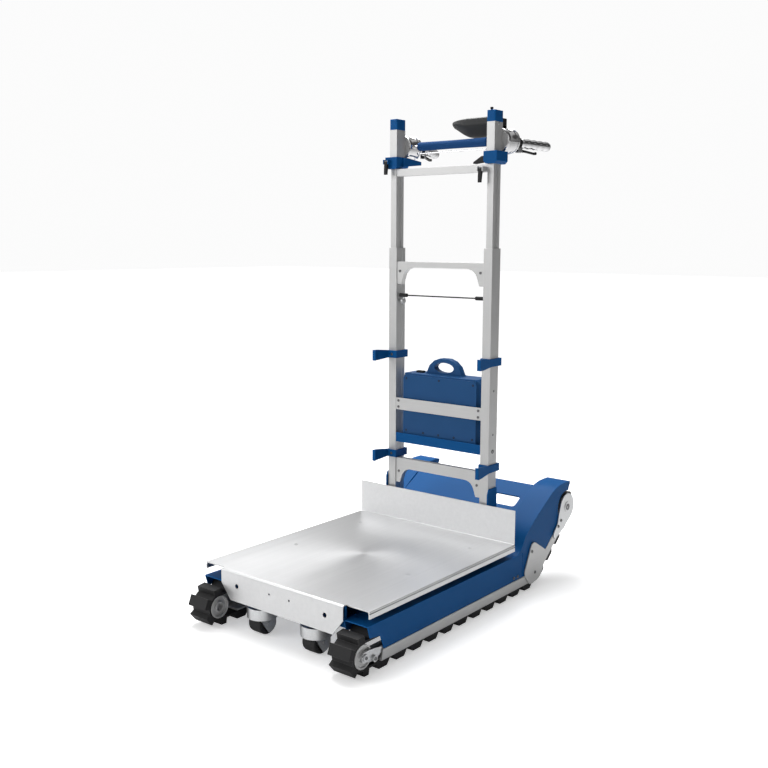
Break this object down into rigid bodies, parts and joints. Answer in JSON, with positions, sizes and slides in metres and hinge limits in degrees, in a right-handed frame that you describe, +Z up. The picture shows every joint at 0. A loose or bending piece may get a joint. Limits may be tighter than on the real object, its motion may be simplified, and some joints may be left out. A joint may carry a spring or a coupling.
{
  "type": "tracked stair-climbing platform trolley",
  "caption": "Powered platform trolley on rubber crawler tracks, with a flat load deck, front casters, a telescopic mast, a push bar, two rear handles and a lift-out battery.",
  "frame": {"origin": "on the ground, at the middle of the bounding box's base", "axes": "+Z up; the loading edge with the apron and casters faces -Y, the mast's handles point to +Y where the operator stands, +X is the side of the console and the cap button"},
  "size_m": [0.6144, 1.1226, 1.446],
  "materials": {
    "brushed_sheet": "brushed stainless sheet",
    "blue_paint": "semi-gloss powder coat",
    "belt_rubber": "matt moulded rubber",
    "aluminium": "clear anodised, satin",
    "zinc_steel": "zinc plated",
    "chrome": "polished chrome",
    "black_plastic": "fine grain moulding",
    "blue_plastic": "fine grain moulding",
    "blue_foam": "closed-cell foam",
    "grey_plastic": "fine grain moulding",
    "motor_paint": "dark enamel"
  },
  "bodies": {
    "chassis": {"platform_sheet": "brushed_sheet", "cross_beam_front": "blue_paint", "cross_beam_rear": "blue_paint", "side_rail_left": "blue_paint", "side_rail_right": "blue_paint", "crawler_belt_left": "belt_rubber", "crawler_belt_right": "belt_rubber", "track_guide_left": "aluminium", "track_guide_right": "aluminium", "front_tensioner_left": "zinc_steel", "front_tensioner_right": "zinc_steel", "drive_gearbox": "motor_paint", "tail_cover_left": "blue_paint", "tail_cover_right": "blue_paint", "knee_plate_left": "aluminium", "knee_plate_right": "aluminium", "rear_tensioner_left": "zinc_steel", "rear_tensioner_right": "zinc_steel", "rear_panel": "blue_paint", "mast_post_left": "aluminium", "mast_post_right": "aluminium", "upper_crossbar": "aluminium", "lower_crossbar": "aluminium", "middle_bar": "aluminium", "battery_tray": "blue_paint", "upper_hook_left": "blue_paint", "upper_hook_right": "blue_paint", "lower_hook_left": "blue_paint", "lower_hook_right": "blue_paint"},
    "idler_left": {"idler_wheel_left": "aluminium"},
    "drum_left": {"drive_drum_left": "zinc_steel"},
    "caster_left": {"caster_fork_left": "zinc_steel"},
    "caster_roll_left": {"caster_wheel_left": "belt_rubber"},
    "idler_right": {"idler_wheel_right": "aluminium"},
    "drum_right": {"drive_drum_right": "zinc_steel"},
    "caster_right": {"caster_fork_right": "zinc_steel"},
    "caster_roll_right": {"caster_wheel_right": "belt_rubber"},
    "inner_mast": {"inner_post_left": "aluminium", "inner_post_right": "aluminium", "top_crossbar": "aluminium"},
    "carriage": {"sleeve_left": "aluminium", "sleeve_right": "aluminium", "post_cap_left": "blue_paint", "post_cap_right": "blue_paint", "post_clamp_left": "blue_paint", "post_clamp_right": "blue_paint", "push_bar": "blue_foam", "console": "grey_plastic"},
    "grip_left": {"handle_left": "chrome"},
    "brake_left": {"brake_lever_left": "black_plastic"},
    "cam_left": {"cam_lever_left": "black_plastic"},
    "grip_right": {"handle_right": "chrome"},
    "brake_right": {"brake_lever_right": "black_plastic"},
    "cam_right": {"cam_lever_right": "black_plastic"},
    "key_up": {"button_up": "black_plastic"},
    "key_down": {"button_down": "black_plastic"},
    "key_cap": {"cap_button": "black_plastic"},
    "release": {"release_rod": "black_plastic"},
    "battery": {"battery_pack": "blue_plastic"},
    "latch": {"battery_latch": "black_plastic"}
  },
  "joints": [
    {"name": "drum_spin_right", "type": "hinge", "parent": "chassis", "child": "drum_right", "pos_m": [0.259, 0.50545, 0.216], "axis": [1, 0, 0], "continuous": true},
    {"name": "drum_spin_left", "type": "hinge", "parent": "chassis", "child": "drum_left", "pos_m": [-0.259, 0.50545, 0.216], "axis": [1, 0, 0], "continuous": true},
    {"name": "idler_spin_right", "type": "hinge", "parent": "chassis", "child": "idler_right", "pos_m": [0.259, -0.50755, 0.054], "axis": [1, 0, 0], "continuous": true},
    {"name": "caster_swivel_right", "type": "hinge", "parent": "chassis", "child": "caster_right", "pos_m": [0.1, -0.44255, 0.0994], "axis": [0, 0, 1], "continuous": true},
    {"name": "caster_wheel_spin_right", "type": "hinge", "parent": "caster_right", "child": "caster_roll_right", "pos_m": [0.1, -0.46455, 0.032], "axis": [1, 0, 0], "continuous": true},
    {"name": "idler_spin_left", "type": "hinge", "parent": "chassis", "child": "idler_left", "pos_m": [-0.259, -0.50755, 0.054], "axis": [1, 0, 0], "continuous": true},
    {"name": "caster_swivel_left", "type": "hinge", "parent": "chassis", "child": "caster_left", "pos_m": [-0.1, -0.44255, 0.0994], "axis": [0, 0, 1], "continuous": true},
    {"name": "caster_wheel_spin_left", "type": "hinge", "parent": "caster_left", "child": "caster_roll_left", "pos_m": [-0.1, -0.46455, 0.032], "axis": [1, 0, 0], "continuous": true},
    {"name": "mast_telescope", "type": "slide", "parent": "chassis", "child": "inner_mast", "axis": [0, 0, 1], "range_m": [-0.21, 0.1]},
    {"name": "carriage_height", "type": "slide", "parent": "inner_mast", "child": "carriage", "axis": [0, 0, 1], "range_m": [0, 0.06]},
    {"name": "handle_turn_right", "type": "hinge", "parent": "carriage", "child": "grip_right", "pos_m": [0.1795, 0.30545, 1.355], "axis": [0, 1, 0], "range_deg": [-90, 90]},
    {"name": "brake_squeeze_right", "type": "hinge", "parent": "grip_right", "child": "brake_right", "pos_m": [0.1805, 0.36145, 1.332], "axis": [0.9613, -0.2756, 0], "range_deg": [0, 5], "stiffness_Nm_per_rad": 0.5, "springref_deg": -8.59},
    {"name": "handle_turn_left", "type": "hinge", "parent": "carriage", "child": "grip_left", "pos_m": [-0.1795, 0.30545, 1.355], "axis": [0, 1, 0], "range_deg": [-90, 90]},
    {"name": "brake_squeeze_left", "type": "hinge", "parent": "grip_left", "child": "brake_left", "pos_m": [-0.1805, 0.36145, 1.332], "axis": [0.9613, 0.2756, 0], "range_deg": [0, 5], "stiffness_Nm_per_rad": 0.5, "springref_deg": -8.59},
    {"name": "cam_open_left", "type": "hinge", "parent": "carriage", "child": "cam_left", "pos_m": [-0.194, 0.18845, 1.304], "axis": [1, 0, 0], "range_deg": [-90, 0]},
    {"name": "cam_open_right", "type": "hinge", "parent": "inner_mast", "child": "cam_right", "pos_m": [0.156, 0.18845, 1.268], "axis": [1, 0, 0], "range_deg": [-90, 0]},
    {"name": "key_up_press", "type": "slide", "parent": "carriage", "child": "key_up", "axis": [0, -0.4583, -0.8888], "range_m": [0, 0.003], "stiffness_N_per_m": 300, "springref_m": -0.003},
    {"name": "key_down_press", "type": "slide", "parent": "carriage", "child": "key_down", "axis": [0, -0.4583, -0.8888], "range_m": [0, 0.003], "stiffness_N_per_m": 300, "springref_m": -0.003},
    {"name": "cap_button_press", "type": "slide", "parent": "carriage", "child": "key_cap", "axis": [0, 0, -1], "range_m": [0, 0.0025], "stiffness_N_per_m": 300, "springref_m": -0.003},
    {"name": "release_pull", "type": "slide", "parent": "chassis", "child": "release", "axis": [0, 0, 1], "range_m": [0, 0.015], "stiffness_N_per_m": 200, "springref_m": -0.01},
    {"name": "battery_lift", "type": "slide", "parent": "chassis", "child": "battery", "axis": [0, 0, 1], "range_m": [0, 0.15]},
    {"name": "latch_press", "type": "slide", "parent": "battery", "child": "latch", "axis": [0, 0, -1], "range_m": [0, 0.003], "stiffness_N_per_m": 300, "springref_m": -0.003}
  ],
  "couplings": [
    {"joint": "drum_spin_left", "follows": "drum_spin_right", "ratio": 1},
    {"joint": "idler_spin_right", "follows": "drum_spin_right", "ratio": 1.125},
    {"joint": "idler_spin_left", "follows": "drum_spin_right", "ratio": 1.125}
  ]
}
